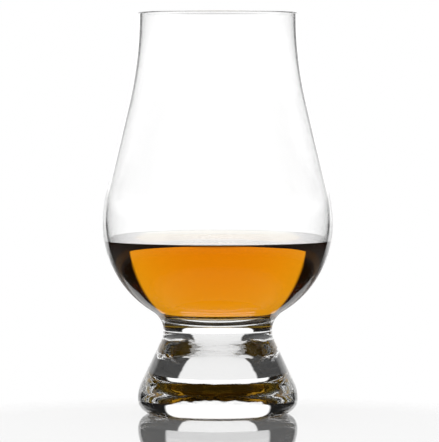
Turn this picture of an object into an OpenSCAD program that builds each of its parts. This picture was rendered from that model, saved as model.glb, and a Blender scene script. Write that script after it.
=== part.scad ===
// Whisky nosing glass: a tulip bowl fused to a solid foot, part filled with whisky.
// Z is the axis of the glass. The foot rests on z = 0, and the rim is the highest point.
// Each outline is a chain of arcs and straight flanks that run into one another without a kink.

/* [Overall] */
// Height from the table to the top of the rim
glass_h = 115; // [110:0.5:122]
// Height of the waist, where the bowl is fused to the foot
foot_h = 23.8; // [22:0.2:27]

/* [Rim and neck] */
// Outer diameter of the rim
rim_d = 45.8; // [43:0.2:49]
// Thickness of the wall at the rim and neck
rim_wall = 1.2; // [1:0.1:1.6]
// Height of the straight band under the rounded rim
rim_band_h = 0.4; // [0.2:0.2:4]
// Radius of the hollow sweep of the neck
neck_r = 106; // [80:1:120]

/* [Bulb] */
// Largest outer diameter of the bulb
bulb_d = 66; // [62:0.5:70]
// Radius of the bulb's side above its widest line
bulb_top_r = 38; // [34:1:50]
// How far the centre of the bulb's lower curve lies from the axis
bulb_base_x = 4; // [2:0.5:7]
// Thickness of the wall at the bulb's widest line
bulb_wall = 1.2; // [1:0.1:1.8]
// Thickness of the wall low down, where the bulb turns in to the waist
base_wall = 2.4; // [2:0.1:3]
// Radius of the hollow floor of the cavity
floor_r = 40; // [36:1:60]

/* [Foot] */
// Diameter of the waist
waist_d = 31.2; // [29:0.2:34]
// Radius of the hollow that runs round the waist
waist_r = 6.5; // [5:0.5:8]
// Largest diameter of the foot
foot_d = 45.8; // [43:0.2:49]
// Radius of the foot's side above its widest line
foot_side_r = 12; // [9:0.5:16]
// Radius of the rounded edge that meets the table
foot_edge_r = 4.2; // [3:0.2:6]
// Width of the flat ring on which the foot rests
ring_w = 3.2; // [1:0.2:6]
// Depth of the shallow hollow under the foot
hollow_h = 1; // [0.4:0.1:2]

/* [Drink] */
// How far the whisky's level lies below the bulb's widest line
drink_drop = 4.6; // [1:0.2:16]
// Radius of the curve by which the whisky climbs the wall
meniscus_r = 2; // [1:0.1:3]
// Angle at which the whisky's surface meets the wall, in degrees
wetting_angle = 8; // [4:1:40]

/* [Hidden] */

// Largest turn between two points of an arc, in degrees
arc_step_angle = 4;
// Directions in an outline: away from the axis, up, towards the axis and down
out_angle = 0;
up_angle = 90;
in_angle = 180;
down_angle = -90;
// Facets round the axis
round_facets = 120;
// Points nearer than this are one point
same_point = 0.0001;

crystal = [0.90, 0.94, 0.95, 0.35];
pressed_crystal = [0.80, 0.85, 0.85, 0.60];
amber = [0.86, 0.46, 0.06, 0.85];

// Points on an arc about a centre, both ends included
function arc(centre, radius, start, end) =
    let (steps = max(1, ceil(abs(end - start) / arc_step_angle)))
    [for (i = [0:steps])
        let (angle = start + (end - start) * i / steps)
        centre + radius * [cos(angle), sin(angle)]];

// Direction of the normal of the straight flank between a round side and the hollow one above it
function flank_angle(round_centre, round_radius, hollow_centre, hollow_radius) =
    let (across = hollow_centre - round_centre)
    atan2(across[1], across[0]) - acos((round_radius + hollow_radius) / norm(across));

// Direction from one centre to another
function direction(from, to) = atan2(to[1] - from[1], to[0] - from[0]);

// One outline from its stretches, with the points that two stretches share kept once
function outline(stretches) =
    let (points = [for (stretch = stretches) each stretch])
    [for (i = [0:len(points) - 1])
        if (i == 0 || norm(points[i] - points[i - 1]) > same_point) points[i]];

// Foot, from the resting ring up to the waist
edge_centre = [foot_d / 2 - foot_edge_r, foot_edge_r];
side_centre = [foot_d / 2 - foot_side_r, foot_edge_r];
waist_centre = [waist_d / 2 + waist_r, foot_h];
foot_flank_angle = flank_angle(side_centre, foot_side_r, waist_centre, waist_r);
hollow_x = foot_d / 2 - foot_edge_r - ring_w;
hollow_r = (pow(hollow_x, 2) + pow(hollow_h, 2)) / (2 * hollow_h);

// Outside of the bowl: the bulb sits where its lower side touches the hollow of the waist
bulb_base_r = bulb_d / 2 - bulb_base_x;
bulb_z = foot_h + sqrt(pow(bulb_base_r + waist_r, 2) - pow(waist_centre[0] - bulb_base_x, 2));
bulb_base_centre = [bulb_base_x, bulb_z];
bulb_top_centre = [bulb_d / 2 - bulb_top_r, bulb_z];
rim_centre = [rim_d / 2 - rim_wall / 2, glass_h - rim_wall / 2];
neck_centre = [rim_d / 2 + neck_r, rim_centre[1] - rim_band_h];
bulb_flank_angle = flank_angle(bulb_top_centre, bulb_top_r, neck_centre, neck_r);

// Inside of the bowl: the cavity is raised, so that its wall thickens towards the waist
cavity_z = bulb_z + base_wall - bulb_wall;
cavity_base_r = bulb_base_r - bulb_wall;
cavity_base_centre = [bulb_base_x, cavity_z];
cavity_top_r = bulb_top_r - bulb_wall;
cavity_top_centre = [bulb_d / 2 - bulb_top_r, cavity_z];
cavity_neck_r = neck_r + rim_wall;
cavity_flank_angle = flank_angle(cavity_top_centre, cavity_top_r, neck_centre, cavity_neck_r);
floor_drop = floor_r - sqrt(pow(floor_r - cavity_base_r, 2) - pow(bulb_base_x, 2));
floor_z = cavity_z - floor_drop;
floor_centre = [0, floor_z + floor_r];
floor_end_angle = direction(floor_centre, cavity_base_centre);

// Whisky: it is level but for the curve by which it climbs the wall
level_z = bulb_z - drink_drop;
level_angle = asin((level_z - cavity_z) / cavity_base_r);
meniscus_angle = up_angle + level_angle - wetting_angle;
contact_z = level_z + meniscus_r * (1 - cos(meniscus_angle));
contact_angle = asin((contact_z - cavity_z) / cavity_base_r);
contact_x = bulb_base_x + cavity_base_r * cos(contact_angle);
meniscus_centre = [contact_x - meniscus_r * sin(meniscus_angle), level_z + meniscus_r];

// The part of the cavity that the whisky wets, which the bowl and the whisky share
wetted_wall = [
    arc(floor_centre, floor_r, down_angle, floor_end_angle),
    arc(cavity_base_centre, cavity_base_r, floor_end_angle, contact_angle)
];

dry_wall = [
    arc(cavity_base_centre, cavity_base_r, contact_angle, out_angle),
    arc(cavity_top_centre, cavity_top_r, out_angle, cavity_flank_angle),
    arc(neck_centre, cavity_neck_r, in_angle + cavity_flank_angle, in_angle)
];

// The fire-polished rim and the outside of the bowl, down to the waist
bowl_outside = [
    arc(rim_centre, rim_wall / 2, in_angle, out_angle),
    arc(neck_centre, neck_r, in_angle, in_angle + bulb_flank_angle),
    arc(bulb_top_centre, bulb_top_r, bulb_flank_angle, out_angle),
    arc(bulb_base_centre, bulb_base_r, out_angle, direction(bulb_base_centre, waist_centre)),
    arc(waist_centre, waist_r, direction(waist_centre, bulb_base_centre), in_angle)
];

foot_outside = [
    arc(waist_centre, waist_r, in_angle, in_angle + foot_flank_angle),
    arc(side_centre, foot_side_r, foot_flank_angle, out_angle),
    arc(edge_centre, foot_edge_r, out_angle, down_angle)
];

module turned(stretches) {
    rotate_extrude($fn = round_facets) polygon(outline(stretches));
}

module bowl() {
    color(crystal) turned(concat(wetted_wall, dry_wall, bowl_outside, [[[0, foot_h]]]));
}

module foot() {
    hollow_centre = [0, hollow_h - hollow_r];
    underside = arc(hollow_centre, hollow_r, acos(hollow_x / hollow_r), up_angle);
    color(pressed_crystal) turned(concat([[[0, foot_h]]], foot_outside, [underside]));
}

module whisky() {
    meniscus = arc(meniscus_centre, meniscus_r, meniscus_angle + down_angle, down_angle);
    color(amber) turned(concat(wetted_wall, [meniscus], [[[0, level_z]]]));
}

bowl();
foot();
whisky();
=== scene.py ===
import functools
import math

import bmesh
import bpy
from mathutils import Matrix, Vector


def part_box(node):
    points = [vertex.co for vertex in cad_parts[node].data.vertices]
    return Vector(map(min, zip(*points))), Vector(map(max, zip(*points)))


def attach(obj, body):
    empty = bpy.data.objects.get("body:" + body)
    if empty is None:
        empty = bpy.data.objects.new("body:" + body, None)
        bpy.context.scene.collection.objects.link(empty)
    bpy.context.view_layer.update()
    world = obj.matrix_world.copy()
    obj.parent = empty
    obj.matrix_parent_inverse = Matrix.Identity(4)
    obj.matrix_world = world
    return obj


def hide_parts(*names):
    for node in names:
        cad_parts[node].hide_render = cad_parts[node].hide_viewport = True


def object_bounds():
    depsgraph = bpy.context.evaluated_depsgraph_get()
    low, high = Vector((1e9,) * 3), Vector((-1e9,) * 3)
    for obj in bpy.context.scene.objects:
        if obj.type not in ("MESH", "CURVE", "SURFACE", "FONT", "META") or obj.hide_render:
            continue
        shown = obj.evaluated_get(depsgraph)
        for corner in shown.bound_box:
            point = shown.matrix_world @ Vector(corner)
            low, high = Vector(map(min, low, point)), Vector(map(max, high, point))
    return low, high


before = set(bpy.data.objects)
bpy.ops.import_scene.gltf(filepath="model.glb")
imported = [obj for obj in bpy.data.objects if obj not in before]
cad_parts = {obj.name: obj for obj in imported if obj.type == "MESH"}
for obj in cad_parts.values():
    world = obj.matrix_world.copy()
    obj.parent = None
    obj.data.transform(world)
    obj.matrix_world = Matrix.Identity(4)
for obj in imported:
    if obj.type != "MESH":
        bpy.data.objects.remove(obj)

CAD_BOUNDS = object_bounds()
MM = 0.001
DEGREES = 180 / math.pi

# Sizes of the glass, as in the part
GLASS_H = CAD_BOUNDS[1][2]
BULB_D = CAD_BOUNDS[1][0] - CAD_BOUNDS[0][0]
FOOT_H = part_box("foot")[1][2]
FOOT_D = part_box("foot")[1][0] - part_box("foot")[0][0]
RIM_D = 45.8 * MM
RIM_WALL = 1.2 * MM
RIM_BAND_H = 0.4 * MM
NECK_R = 106 * MM
BULB_BASE_X = 4 * MM
BULB_TOP_R = 38 * MM
BULB_WALL = 1.2 * MM
BASE_WALL = 2.4 * MM
FLOOR_R = 40 * MM
WAIST_D = 31.2 * MM
WAIST_R = 6.5 * MM
FOOT_SIDE_R = 12 * MM
FOOT_EDGE_R = 4.2 * MM
RING_W = 3.2 * MM
HOLLOW_H = 1 * MM
DRINK_DROP = 4.6 * MM
# The curve by which the whisky climbs the wall is smaller than in the part, because the photo hardly shows it
MENISCUS_R = 0.2 * MM
WETTING_ANGLE = math.radians(45)

# Refraction of crystal and of whisky against air, and none where two faces touch
CRYSTAL_IOR = 1.545
WHISKY_IOR = 1.36
SAME_IOR = 1.0

WHITE = (1, 1, 1, 1)
# What each metre of whisky takes away from red, green and blue
WHISKY_TAKES = (6.2, 27.0, 115.0)

# Waves left in the blown bowl and in the pressed foot: their height, and their size in X, Y and Z
BOWL_WAVE = 0.02 * MM
BOWL_CELL = (14 * MM, 14 * MM, 20 * MM)
FOOT_WAVE = 0.07 * MM
FOOT_CELL = (4 * MM, 4 * MM, 1.5 * MM)
# Strength of the foot's waves at two heights
FOOT_CALM = ((13 * MM, 0.2), (18 * MM, 1.0))
WAVE_DETAIL = 1.0

# How finely the turned meshes are cut
ROUND_STEPS = 192
ARC_STEP = math.radians(1.5)
LONGEST_EDGE = 1.2 * MM
SHARP_ANGLE = math.radians(35)
SAME_POINT = 1e-7
# Faces that touch on the real glass lie this far apart, so that a ray meets them one after the other
FACE_GAP = 0.01 * MM

# Faces that a ray crosses through the empty bowl, and those it crosses into and out of the bowl's wall
BOWL_FACES = 4
WALL_FACES = 2
COUNT_MARGIN = 0.5

# The studio, as angles in degrees and as strengths, where light without a named strength has a strength of 1.
# The white wall behind the glass, and its top in what the outside of the glass reflects
WALL_HALF_ANGLE = 31.0
WALL_SOFT_ANGLE = 1.5
WALL_TOP_ANGLE = 48.0
WALL_LIGHT = 1.2
REFLECTED_TOP_ANGLE = 30.0
# Panels straight to both sides, light from below, and a dim ceiling on the near side
SIDE_ANGLE = 90.0
SIDE_HALF_ANGLE = 15.0
SIDE_SOFT_ANGLE = 3.0
LOW_ANGLE = -12.0
LOW_SOFT_ANGLE = 3.0
CEILING_START_ANGLE = 80.0
CEILING_START_SOFT_ANGLE = 20.0
CEILING_FOOT_ANGLE = 10.0
CEILING_FOOT_SOFT_ANGLE = 10.0
CEILING_LIGHT = 0.05
# The low white band round the glass, which its outside reflects
TENT_HALF_ANGLE = 100.0
TENT_SIDE_SOFT_ANGLE = 15.0
TENT_FOOT_ANGLE = 4.0
TENT_TOP_ANGLE = 16.0
TENT_SOFT_ANGLE = 3.0
# Where the room on the near side of the glass starts
NEAR_ANGLE = 80.0
NEAR_SOFT_ANGLE = 5.0
# The thin dark line along the bowl's sides
LINE_HALF_ANGLE = 22.0
LINE_TOP_ANGLE = 40.0
LINE_SOFT_ANGLE = 1.0
LINE_LIGHT = 0.05
# The bright wall that the whisky's surface mirrors
SURFACE_HALF_ANGLE = 120.0
SURFACE_SOFT_ANGLE = 5.0
SURFACE_LIGHT = 1.5
# What is left of light that is mirrored on its way through the whisky
MIRRORED_DRINK_SHARE = 0.4
# The low part of the wall as the whisky shows it: its sagging lower edge, how it widens, and its corners
PANEL_FOOT_ANGLE = 3.3
PANEL_FOOT_SAG = 3.0
PANEL_FOOT_HALF_ANGLE = 29.0
PANEL_WIDENS = 0.25
PANEL_CORNER = 3.0
PANEL_SOFT_ANGLE = 0.7
# How far up and to the sides that part, and the dark round it, take the place of the other light
PANEL_TOP_ANGLE = 12.0
PANEL_TOP_SOFT_ANGLE = 1.0
PANEL_REACH_ANGLE = 60.0
PANEL_REACH_SOFT_ANGLE = 10.0
# The dark room all round, and its light on matt surfaces where they are seen in a reflection
ROOM_LIGHT = 0.01
ROOM_MATT_LIGHT = 0.1

# The table: half its side, how far it lies under the glass, and where it fades, which to the camera is nearer
FLOOR_SIZE = 0.6
FLOOR_GAP = 0.02 * MM
FLOOR_FADE = 0.3
FLOOR_FADE_SOFT = FLOOR_FADE / 3
FLOOR_SEEN_CENTRE = (0, -0.045, 0)
FLOOR_SEEN = 0.085
FLOOR_SEEN_SOFT = FLOOR_SEEN / 5
FLOOR_COLOUR = (0.85, 0.85, 0.85, 1)
FLOOR_MATT_ROUGHNESS = 0.6
FLOOR_GLOSS_ROUGHNESS = 0.02
# The share of gloss at two slants, where a slant of 0 is straight down and 1 is along the table
FLOOR_SHINE = ((0.70, 0.04), (0.92, 0.88))
# The share of gloss for light that has met glass, its reach from the axis, and the slant where it starts
MIRROR_SHINE = 0.95
MIRROR_UNDER_GLASS = 0.055
MIRROR_UNDER_SOFT = MIRROR_UNDER_GLASS / 10
MIRROR_BESIDE_GLASS = 0.12
MIRROR_BESIDE_SOFT = MIRROR_BESIDE_GLASS / 5
MIRROR_SLANT = 0.25
MIRROR_SLANT_SOFT = MIRROR_SLANT / 3

CAMERA_PLACE = (0, -1.05, 0.0967)
CAMERA_AIM = (0.0005, 0, 0.0552)
CAMERA_LENS = 298.7
CAMERA_CLIP = (0.01, 50)
MOST_BOUNCES = 32
MOST_GLOSSY_BOUNCES = 24

OUT, UP, IN, DOWN = 0.0, math.pi / 2, math.pi, -math.pi / 2


def arc(centre, radius, start, end):
    """Points on an arc about a centre in the (radius, height) plane, both ends included."""
    turn = abs(end - start)
    steps = max(1, math.ceil(turn / ARC_STEP), math.ceil(turn * radius / LONGEST_EDGE))
    turns = [start + (end - start) * i / steps for i in range(steps + 1)]
    return [(centre[0] + radius * math.cos(a), centre[1] + radius * math.sin(a)) for a in turns]


def direction(start, end):
    return math.atan2(end[1] - start[1], end[0] - start[0])


def flank_angle(round_centre, round_radius, hollow_centre, hollow_radius):
    """Direction of the normal of the straight flank between a round side and the hollow one above it."""
    apart = math.dist(round_centre, hollow_centre)
    return direction(round_centre, hollow_centre) - math.acos((round_radius + hollow_radius) / apart)


def spread(points):
    """The same outline with long edges cut into short ones and repeated points dropped."""
    kept = [points[0]]
    for point in points[1:]:
        last = kept[-1]
        length = math.dist(last, point)
        if length < SAME_POINT:
            continue
        cuts = math.ceil(length / LONGEST_EDGE)
        kept += [tuple(a + (b - a) * i / cuts for a, b in zip(last, point)) for i in range(1, cuts + 1)]
    return kept


class Outlines:
    """The outlines of the glass and the whisky, worked out from the sizes as in the part."""

    edge = (FOOT_D / 2 - FOOT_EDGE_R, FOOT_EDGE_R)
    side = (FOOT_D / 2 - FOOT_SIDE_R, FOOT_EDGE_R)
    waist = (WAIST_D / 2 + WAIST_R, FOOT_H)
    foot_flank = flank_angle(side, FOOT_SIDE_R, waist, WAIST_R)
    hollow_x = FOOT_D / 2 - FOOT_EDGE_R - RING_W
    hollow_r = (hollow_x ** 2 + HOLLOW_H ** 2) / (2 * HOLLOW_H)

    base_r = BULB_D / 2 - BULB_BASE_X
    bulb_z = FOOT_H + math.sqrt((base_r + WAIST_R) ** 2 - (waist[0] - BULB_BASE_X) ** 2)
    base = (BULB_BASE_X, bulb_z)
    top = (BULB_D / 2 - BULB_TOP_R, bulb_z)
    rim = (RIM_D / 2 - RIM_WALL / 2, GLASS_H - RIM_WALL / 2)
    neck = (RIM_D / 2 + NECK_R, rim[1] - RIM_BAND_H)
    bulb_flank = flank_angle(top, BULB_TOP_R, neck, NECK_R)

    cavity_z = bulb_z + BASE_WALL - BULB_WALL
    cavity_base_r = base_r - BULB_WALL
    cavity_base = (BULB_BASE_X, cavity_z)
    cavity_top_r = BULB_TOP_R - BULB_WALL
    cavity_top = (BULB_D / 2 - BULB_TOP_R, cavity_z)
    cavity_neck_r = NECK_R + RIM_WALL
    cavity_flank = flank_angle(cavity_top, cavity_top_r, neck, cavity_neck_r)
    floor_drop = FLOOR_R - math.sqrt((FLOOR_R - cavity_base_r) ** 2 - BULB_BASE_X ** 2)
    floor_z = cavity_z - floor_drop
    floor = (0.0, floor_z + FLOOR_R)
    floor_end = direction(floor, cavity_base)

    level_z = bulb_z - DRINK_DROP
    meniscus_turn = UP + math.asin((level_z - cavity_z) / cavity_base_r) - WETTING_ANGLE
    contact_z = level_z + MENISCUS_R * (1 - math.cos(meniscus_turn))
    contact = math.asin((contact_z - cavity_z) / cavity_base_r)
    contact_x = BULB_BASE_X + cavity_base_r * math.cos(contact)
    meniscus = (contact_x - MENISCUS_R * math.sin(meniscus_turn), level_z + MENISCUS_R)

    @classmethod
    def wetted(cls):
        return spread(arc(cls.floor, FLOOR_R, DOWN, cls.floor_end)
                      + arc(cls.cavity_base, cls.cavity_base_r, cls.floor_end, cls.contact))

    @classmethod
    def dry(cls):
        """The cavity above the whisky, the rim and the outside of the bowl, down to the waist."""
        return spread(arc(cls.cavity_base, cls.cavity_base_r, cls.contact, OUT)
                      + arc(cls.cavity_top, cls.cavity_top_r, OUT, cls.cavity_flank)
                      + arc(cls.neck, cls.cavity_neck_r, IN + cls.cavity_flank, IN)
                      + arc(cls.rim, RIM_WALL / 2, IN, OUT)
                      + arc(cls.neck, NECK_R, IN, IN + cls.bulb_flank)
                      + arc(cls.top, BULB_TOP_R, cls.bulb_flank, OUT)
                      + arc(cls.base, cls.base_r, OUT, direction(cls.base, cls.waist))
                      + arc(cls.waist, WAIST_R, direction(cls.waist, cls.base), IN))

    @classmethod
    def foot_side(cls):
        return spread(arc(cls.waist, WAIST_R, IN, IN + cls.foot_flank)
                      + arc(cls.side, FOOT_SIDE_R, cls.foot_flank, OUT)
                      + arc(cls.edge, FOOT_EDGE_R, OUT, DOWN)
                      + [(cls.hollow_x, 0.0)])

    @classmethod
    def foot_hollow(cls):
        return spread(arc((0.0, HOLLOW_H - cls.hollow_r), cls.hollow_r,
                          math.acos(cls.hollow_x / cls.hollow_r), UP))

    @classmethod
    def surface(cls):
        return spread(arc(cls.meniscus, MENISCUS_R, cls.meniscus_turn - UP, DOWN) + [(0.0, cls.level_z)])


def chained(stretches):
    """One anticlockwise chain of points, and the material index of the band between each two of them."""
    points = []
    bands = []
    for outline, material in stretches:
        for point in outline:
            if points and math.dist(points[-1], point) < SAME_POINT:
                continue
            if points:
                bands.append(material)
            points.append(point)
    if sum(a[0] * b[1] - b[0] * a[1] for a, b in zip(points, points[1:] + points[:1])) <= 0:
        points.reverse()
        bands.reverse()
    return points, bands


def turned(name, stretches, materials):
    """A closed mesh turned round Z, from stretches of (outline, material index) that follow one another."""
    points, bands = chained(stretches)
    work = bmesh.new()
    turns = [2 * math.pi * i / ROUND_STEPS for i in range(ROUND_STEPS)]
    rings = []
    for r, z in points:
        if r < SAME_POINT:
            rings.append([work.verts.new((0.0, 0.0, z))])
        else:
            rings.append([work.verts.new((r * math.cos(a), r * math.sin(a), z)) for a in turns])
    for lower, upper, material in zip(rings, rings[1:], bands):
        for i in range(ROUND_STEPS):
            j = (i + 1) % ROUND_STEPS
            corners = [lower[i % len(lower)], lower[j % len(lower)],
                       upper[j % len(upper)], upper[i % len(upper)]]
            face = work.faces.new(list(dict.fromkeys(corners)))
            face.material_index = material
            face.smooth = True
    mesh = bpy.data.meshes.new(name)
    work.to_mesh(mesh)
    work.free()
    mesh.set_sharp_from_angle(angle=SHARP_ANGLE)
    for material in materials:
        mesh.materials.append(material)
    piece = bpy.data.objects.new(name, mesh)
    bpy.context.collection.objects.link(piece)
    return piece


class Net:
    """Math on the sockets of one node tree. A value is a number or a socket."""

    def __init__(self, tree):
        self.nodes, self.links = tree.nodes, tree.links

    def put(self, socket, value):
        if isinstance(value, (int, float)):
            socket.default_value = value
        else:
            self.links.new(value, socket)

    def calc(self, operation, *values):
        node = self.nodes.new("ShaderNodeMath")
        node.operation = operation
        for socket, value in zip(node.inputs, values):
            self.put(socket, value)
        return node.outputs["Value"]

    def product(self, *values):
        return functools.reduce(functools.partial(self.calc, "MULTIPLY"), values)

    def largest(self, *values):
        return functools.reduce(functools.partial(self.calc, "MAXIMUM"), values)

    def invert(self, value):
        return self.calc("SUBTRACT", 1.0, value)

    def ramp(self, value, start, end, kind="SMOOTHSTEP"):
        """A rise or fall between its two ends, which are each (value, result)."""
        node = self.nodes.new("ShaderNodeMapRange")
        node.interpolation_type = kind
        node.inputs["From Min"].default_value, node.inputs["To Min"].default_value = start
        node.inputs["From Max"].default_value, node.inputs["To Max"].default_value = end
        self.links.new(value, node.inputs["Value"])
        return node.outputs["Result"]

    def below(self, value, limit, softness):
        """1 where the value is under the limit and 0 beyond it, with a soft edge."""
        return self.ramp(value, (limit - softness, 1.0), (limit + softness, 0.0))

    def above(self, value, limit, softness):
        return self.invert(self.below(value, limit, softness))

    def within(self, value, half_width, softness):
        return self.below(self.calc("ABSOLUTE", value), half_width, softness)

    def beyond(self, value, half_width, softness):
        return self.invert(self.within(value, half_width, softness))

    def mix(self, factor, first, second):
        node = self.nodes.new("ShaderNodeMix")
        for name, value in (("Factor", factor), ("A", first), ("B", second)):
            self.put(node.inputs[name], value)
        return node.outputs["Result"]


def new_material(name):
    material = bpy.data.materials.new(name)
    material.use_nodes = True
    return material, material.node_tree.nodes, material.node_tree.links


def glass_material(name, ior):
    material, nodes, links = new_material(name)
    shader = nodes["Principled BSDF"]
    shader.inputs["Base Color"].default_value = WHITE
    shader.inputs["Roughness"].default_value = 0.0
    shader.inputs["IOR"].default_value = ior
    shader.inputs["Transmission Weight"].default_value = 1.0
    return material


def add_waves(material, wave, cell, calm=None):
    """Slight waves in a glass surface, of a height and a size. Calm is (z, strength) at two heights."""
    nodes, links = material.node_tree.nodes, material.node_tree.links
    place = nodes.new("ShaderNodeTexCoord")
    stretch = nodes.new("ShaderNodeMapping")
    stretch.inputs["Scale"].default_value = tuple(1 / side for side in cell)
    links.new(place.outputs["Object"], stretch.inputs["Vector"])
    ripple = nodes.new("ShaderNodeTexNoise")
    ripple.inputs["Scale"].default_value = 1.0
    ripple.inputs["Detail"].default_value = WAVE_DETAIL
    links.new(stretch.outputs["Vector"], ripple.inputs["Vector"])
    bump = nodes.new("ShaderNodeBump")
    bump.inputs["Distance"].default_value = wave
    links.new(ripple.outputs["Fac"], bump.inputs["Height"])
    if calm:
        split = nodes.new("ShaderNodeSeparateXYZ")
        links.new(place.outputs["Object"], split.inputs["Vector"])
        strength = Net(material.node_tree).ramp(split.outputs["Z"], *calm, "LINEAR")
        links.new(strength, bump.inputs["Strength"])
    links.new(bump.outputs["Normal"], nodes["Principled BSDF"].inputs["Normal"])


def whisky_material():
    """Clear amber. It refracts at its open surface alone, because the crystal does so at the wetted wall."""
    material = glass_material("amber_whisky", WHISKY_IOR)
    nodes, links = material.node_tree.nodes, material.node_tree.links
    surface = nodes.new("ShaderNodeAttribute")
    surface.attribute_name = "open_surface"
    bend = Net(material.node_tree).ramp(surface.outputs["Fac"], (0.0, SAME_IOR), (1.0, WHISKY_IOR), "LINEAR")
    links.new(bend, nodes["Principled BSDF"].inputs["IOR"])
    most = max(WHISKY_TAKES)
    volume = nodes.new("ShaderNodeVolumeAbsorption")
    volume.inputs["Color"].default_value = tuple(1 - taken / most for taken in WHISKY_TAKES) + (1,)
    volume.inputs["Density"].default_value = most
    links.new(volume.outputs["Volume"], nodes["Material Output"].inputs["Volume"])
    return material


def make_glass():
    """The blown bowl, which refracts less where the whisky wets it, and the pressed foot, fused to it."""
    crystal = glass_material("crystal", CRYSTAL_IOR)
    wetted = glass_material("crystal_wetted", CRYSTAL_IOR / WHISKY_IOR)
    pressed = glass_material("crystal_pressed", CRYSTAL_IOR)
    fused = glass_material("crystal_fused", SAME_IOR)
    add_waves(crystal, BOWL_WAVE, BOWL_CELL)
    add_waves(pressed, FOOT_WAVE, FOOT_CELL, FOOT_CALM)
    bowl_end = spread([(WAIST_D / 2, FOOT_H), (0.0, FOOT_H)])
    stretches = [(Outlines.wetted(), 1), (Outlines.dry(), 0), (bowl_end, 2)]
    bowl = turned("crystal_bowl", stretches, [crystal, wetted, fused])
    foot_end = spread([(0.0, FOOT_H - FACE_GAP), (WAIST_D / 2, FOOT_H - FACE_GAP)])
    # The foot's side starts on the bowl's disc, and the rim of the foot's own disc takes that point's place
    outside = Outlines.foot_side()[1:] + Outlines.foot_hollow()
    foot = turned("crystal_foot", [(foot_end, 1), (outside, 0)], [pressed, fused])
    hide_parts("bowl")
    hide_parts("foot")
    return bowl, foot


def inset(point):
    """A point of the wetted wall moved into the whisky, but not over the axis or past the surface."""
    r, z = point
    return (max(0.0, r - FACE_GAP), z + FACE_GAP * (z < Outlines.level_z))


def make_whisky():
    skin = [inset(point) for point in Outlines.wetted()]
    whisky = turned("whisky_drink", [(skin, 0), (Outlines.surface(), 1)], [whisky_material()])
    mesh = whisky.data
    top = mesh.attributes.new("open_surface", "FLOAT", "FACE")
    for face in mesh.polygons:
        top.data[face.index].value = float(face.material_index)
        face.material_index = 0
    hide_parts("whisky")
    return whisky


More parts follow.
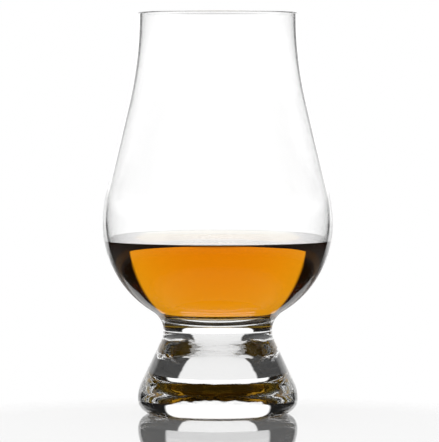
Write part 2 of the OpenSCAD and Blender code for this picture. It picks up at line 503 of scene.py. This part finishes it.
class Studio(Net):
    """Light by direction, and by how many faces a ray has crossed and how often it was mirrored."""

    def __init__(self, tree):
        super().__init__(tree)
        place = self.nodes.new("ShaderNodeTexCoord")
        split = self.nodes.new("ShaderNodeSeparateXYZ")
        self.links.new(place.outputs["Generated"], split.inputs["Vector"])
        x, y, z = (split.outputs[k] for k in "XYZ")
        self.azimuth = self.calc("MULTIPLY", self.calc("ARCTAN2", x, y), DEGREES)
        self.elevation = self.calc("MULTIPLY", self.calc("ARCSINE", z), DEGREES)
        self.path = self.nodes.new("ShaderNodeLightPath")

    def is_ray(self, kind):
        return self.path.outputs[f"Is {kind} Ray"]

    def crossed(self, faces):
        return self.calc("COMPARE", self.path.outputs["Transmission Depth"], faces, COUNT_MARGIN)

    def crossed_drink(self):
        """The drink is seen through more faces than the empty glass is."""
        return self.calc("GREATER_THAN", self.path.outputs["Transmission Depth"], BOWL_FACES + COUNT_MARGIN)

    def mirrored(self, times):
        return self.calc("COMPARE", self.path.outputs["Glossy Depth"], times, COUNT_MARGIN)

    def ever_mirrored(self):
        return self.calc("GREATER_THAN", self.path.outputs["Glossy Depth"], COUNT_MARGIN)

    def wall(self):
        """The white wall behind the glass. The outside of the glass reflects only its lower part."""
        across = self.within(self.azimuth, WALL_HALF_ANGLE, WALL_SOFT_ANGLE)
        under_top = self.below(self.elevation, WALL_TOP_ANGLE, WALL_SOFT_ANGLE)
        high = self.above(self.elevation, REFLECTED_TOP_ANGLE, WALL_SOFT_ANGLE)
        left_out = self.product(self.crossed(0), high)
        return self.product(across, under_top, self.invert(left_out), WALL_LIGHT)

    def panels(self):
        """Pale panels at both sides, pale light from below and a dim ceiling, for refracted light."""
        off_side = self.calc("SUBTRACT", self.calc("ABSOLUTE", self.azimuth), SIDE_ANGLE)
        side = self.within(off_side, SIDE_HALF_ANGLE, SIDE_SOFT_ANGLE)
        low = self.below(self.elevation, LOW_ANGLE, LOW_SOFT_ANGLE)
        near = self.beyond(self.azimuth, CEILING_START_ANGLE, CEILING_START_SOFT_ANGLE)
        high = self.above(self.elevation, CEILING_FOOT_ANGLE, CEILING_FOOT_SOFT_ANGLE)
        ceiling = self.product(near, high, CEILING_LIGHT)
        return self.product(self.largest(side, low, ceiling), self.is_ray("Transmission"))

    def tent(self):
        """What the outside of the glass reflects just above the horizon."""
        across = self.within(self.azimuth, TENT_HALF_ANGLE, TENT_SIDE_SOFT_ANGLE)
        over_foot = self.above(self.elevation, TENT_FOOT_ANGLE, TENT_SOFT_ANGLE)
        under_top = self.below(self.elevation, TENT_TOP_ANGLE, TENT_SOFT_ANGLE)
        return self.product(across, over_foot, under_top, self.mirrored(1), self.crossed(0))

    def near_side(self):
        """The room on the near side of the glass, for light that has only been refracted."""
        near = self.beyond(self.azimuth, NEAR_ANGLE, NEAR_SOFT_ANGLE)
        return self.product(near, self.mirrored(0), self.is_ray("Transmission"))

    def side_line(self):
        """Where the inner face of the bowl's wall mirrors the dark beside the white wall."""
        beside = self.beyond(self.azimuth, LINE_HALF_ANGLE, LINE_SOFT_ANGLE)
        under_top = self.below(self.elevation, LINE_TOP_ANGLE, LINE_SOFT_ANGLE)
        return self.product(beside, under_top, self.mirrored(1), self.crossed(WALL_FACES))

    def drink_surface(self):
        """What the whisky's surface mirrors through the back of the bowl."""
        across = self.within(self.azimuth, SURFACE_HALF_ANGLE, SURFACE_SOFT_ANGLE)
        return self.product(across, self.ever_mirrored(), self.crossed(BOWL_FACES), SURFACE_LIGHT)

    def drink_panel(self):
        """The low part of the wall as the whisky shows it, with a sagging lower edge and round corners."""
        widened = self.calc("ADD", self.calc("MULTIPLY", self.elevation, PANEL_WIDENS), PANEL_FOOT_HALF_ANGLE)
        straight = self.calc("SUBTRACT", self.calc("MINIMUM", widened, WALL_HALF_ANGLE), PANEL_CORNER)
        past_side = self.calc("SUBTRACT", self.calc("ABSOLUTE", self.azimuth), straight)
        past_side = self.calc("MAXIMUM", past_side, 0.0)
        share = self.calc("DIVIDE", self.azimuth, PANEL_FOOT_HALF_ANGLE)
        height = self.calc("ADD", self.elevation, self.product(share, share, PANEL_FOOT_SAG))
        past_foot = self.calc("SUBTRACT", PANEL_FOOT_ANGLE + PANEL_CORNER, height)
        past_foot = self.calc("MAXIMUM", past_foot, 0.0)
        squares = self.calc("ADD", self.product(past_side, past_side), self.product(past_foot, past_foot))
        inside = self.below(self.calc("SQRT", squares), PANEL_CORNER, PANEL_SOFT_ANGLE)
        return self.product(inside, self.mirrored(0), WALL_LIGHT)

    def through_drink(self, light):
        """The light as rays through the whisky see it, and unchanged for all others."""
        drink = self.crossed_drink()
        dimmed = self.product(light, MIRRORED_DRINK_SHARE)
        light = self.mix(self.product(drink, self.ever_mirrored()), light, dimmed)
        low = self.below(self.elevation, PANEL_TOP_ANGLE, PANEL_TOP_SOFT_ANGLE)
        ahead = self.within(self.azimuth, PANEL_REACH_ANGLE, PANEL_REACH_SOFT_ANGLE)
        panel = self.calc("ADD", self.drink_panel(), ROOM_LIGHT)
        return self.mix(self.product(low, ahead, drink), light, panel)


def make_world():
    """White to the camera and plain to matt surfaces. All mirrored or refracted light shows the studio."""
    world = bpy.data.worlds.new("studio")
    bpy.context.scene.world = world
    world.use_nodes = True
    nodes, links = world.node_tree.nodes, world.node_tree.links
    nodes.clear()
    studio = Studio(world.node_tree)
    light = studio.calc("ADD", studio.largest(studio.wall(), studio.panels()), ROOM_LIGHT)
    light = studio.largest(light, studio.tent(), studio.near_side())
    light = studio.mix(studio.side_line(), light, LINE_LIGHT)
    light = studio.largest(light, studio.drink_surface())
    light = studio.through_drink(light)
    matt = studio.mix(studio.ever_mirrored(), 1.0, ROOM_MATT_LIGHT)
    light = studio.mix(studio.is_ray("Diffuse"), light, matt)
    light = studio.mix(studio.is_ray("Camera"), light, 1.0)
    back = nodes.new("ShaderNodeBackground")
    back.inputs["Color"].default_value = WHITE
    links.new(light, back.inputs["Strength"])
    out = nodes.new("ShaderNodeOutputWorld")
    links.new(back.outputs["Background"], out.inputs["Surface"])


def table_shine(net, path, away):
    """Share of gloss: high along the table, and nearly a mirror to light that has met glass close by."""
    slant = net.nodes.new("ShaderNodeLayerWeight").outputs["Facing"]
    shine = net.ramp(slant, *FLOOR_SHINE)
    under = net.product(path.outputs["Is Transmission Ray"],
                        net.below(away, MIRROR_UNDER_GLASS, MIRROR_UNDER_SOFT))
    beside = net.product(path.outputs["Is Glossy Ray"],
                         net.below(away, MIRROR_BESIDE_GLASS, MIRROR_BESIDE_SOFT))
    slanting = net.above(slant, MIRROR_SLANT, MIRROR_SLANT_SOFT)
    return net.largest(shine, net.product(net.largest(under, beside), MIRROR_SHINE, slanting))


def table_presence(net, path, place, away):
    """1 where the table is and 0 where it has faded, which to the camera is nearer to the glass."""
    shift = net.nodes.new("ShaderNodeVectorMath")
    shift.operation = "DISTANCE"
    shift.inputs[1].default_value = FLOOR_SEEN_CENTRE
    net.links.new(place.outputs["Object"], shift.inputs[0])
    seen = net.below(shift.outputs["Value"], FLOOR_SEEN, FLOOR_SEEN_SOFT)
    met = net.below(away, FLOOR_FADE, FLOOR_FADE_SOFT)
    return net.mix(path.outputs["Is Camera Ray"], met, seen)


def table_material():
    """Pale and matt with a gloss over it, and clear where it has faded."""
    material, nodes, links = new_material("pale_gloss")
    net = Net(material.node_tree)
    matt = nodes["Principled BSDF"]
    matt.inputs["Base Color"].default_value = FLOOR_COLOUR
    matt.inputs["Roughness"].default_value = FLOOR_MATT_ROUGHNESS
    matt.inputs["Specular IOR Level"].default_value = 0.0
    gloss = nodes.new("ShaderNodeBsdfGlossy")
    gloss.inputs["Roughness"].default_value = FLOOR_GLOSS_ROUGHNESS
    place = nodes.new("ShaderNodeTexCoord")
    length = nodes.new("ShaderNodeVectorMath")
    length.operation = "LENGTH"
    links.new(place.outputs["Object"], length.inputs["Vector"])
    away = length.outputs["Value"]
    path = nodes.new("ShaderNodeLightPath")
    layered = nodes.new("ShaderNodeMixShader")
    links.new(table_shine(net, path, away), layered.inputs["Fac"])
    links.new(matt.outputs["BSDF"], layered.inputs[1])
    links.new(gloss.outputs["BSDF"], layered.inputs[2])
    clear = nodes.new("ShaderNodeBsdfTransparent")
    faded = nodes.new("ShaderNodeMixShader")
    links.new(table_presence(net, path, place, away), faded.inputs["Fac"])
    links.new(clear.outputs["BSDF"], faded.inputs[1])
    links.new(layered.outputs["Shader"], faded.inputs[2])
    links.new(faded.outputs["Shader"], nodes["Material Output"].inputs["Surface"])
    return material


def make_floor():
    """A table that fades into the white background away from the glass."""
    mesh = bpy.data.meshes.new("table_top")
    signs = ((-1, -1), (1, -1), (1, 1), (-1, 1))
    corners = [(x * FLOOR_SIZE, y * FLOOR_SIZE, -FLOOR_GAP) for x, y in signs]
    mesh.from_pydata(corners, [], [(0, 1, 2, 3)])
    table = bpy.data.objects.new("table_top", mesh)
    bpy.context.collection.objects.link(table)
    mesh.materials.append(table_material())


def make_camera():
    data = bpy.data.cameras.new("camera")
    camera = bpy.data.objects.new("camera", data)
    bpy.context.collection.objects.link(camera)
    camera.location = CAMERA_PLACE
    camera.rotation_euler = (Vector(CAMERA_AIM) - camera.location).to_track_quat("-Z", "Y").to_euler()
    data.lens = CAMERA_LENS
    data.clip_start, data.clip_end = CAMERA_CLIP
    bpy.context.scene.camera = camera


def main():
    scene = bpy.context.scene
    scene.view_settings.view_transform = "Standard"
    scene.cycles.max_bounces = MOST_BOUNCES
    scene.cycles.transmission_bounces = MOST_BOUNCES
    scene.cycles.glossy_bounces = MOST_GLOSSY_BOUNCES
    make_camera()
    make_world()
    make_floor()
    bowl, foot = make_glass()
    whisky = make_whisky()
    for piece in (bowl, foot, whisky):
        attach(piece, "root")


main()
